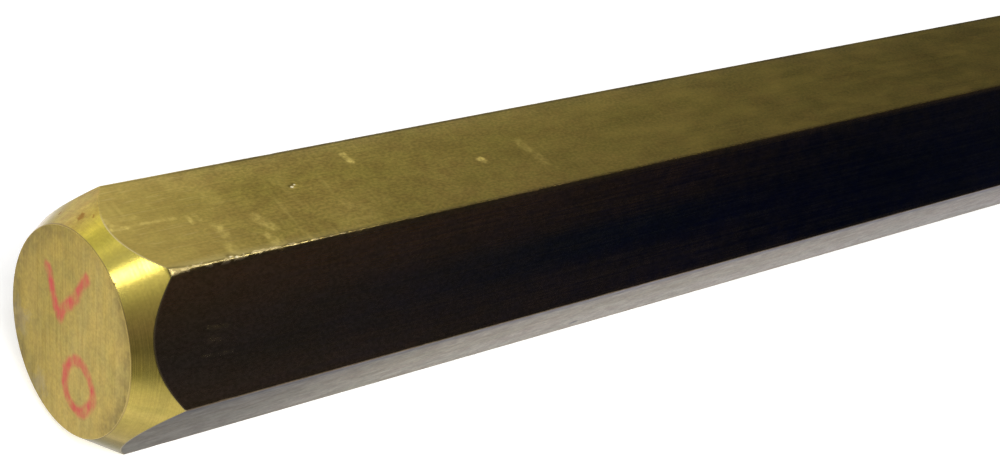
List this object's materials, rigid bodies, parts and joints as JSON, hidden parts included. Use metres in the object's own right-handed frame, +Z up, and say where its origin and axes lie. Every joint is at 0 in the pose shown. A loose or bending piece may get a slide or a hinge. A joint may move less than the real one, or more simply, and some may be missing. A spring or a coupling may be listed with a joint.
{
  "type": "hex bar stock",
  "caption": "Solid brass hexagonal bar lying on a flat, one end turned to a cone that scallops the flats, the other sawn square; raw stock for nuts, fittings and spacers.",
  "frame": {"origin": "under the middle of the bar, on the flat that it lies on", "axes": "+X along the bar from the turned end to the sawn end, +Z up"},
  "size_m": [0.3, 0.0346, 0.03],
  "materials": {
    "drawn_brass": "drawn and dulled on the flats, bright turned on the cone, sawn on the end faces"
  },
  "bodies": {
    "root": {"hex_bar": "drawn_brass"}
  },
  "joints": []
}
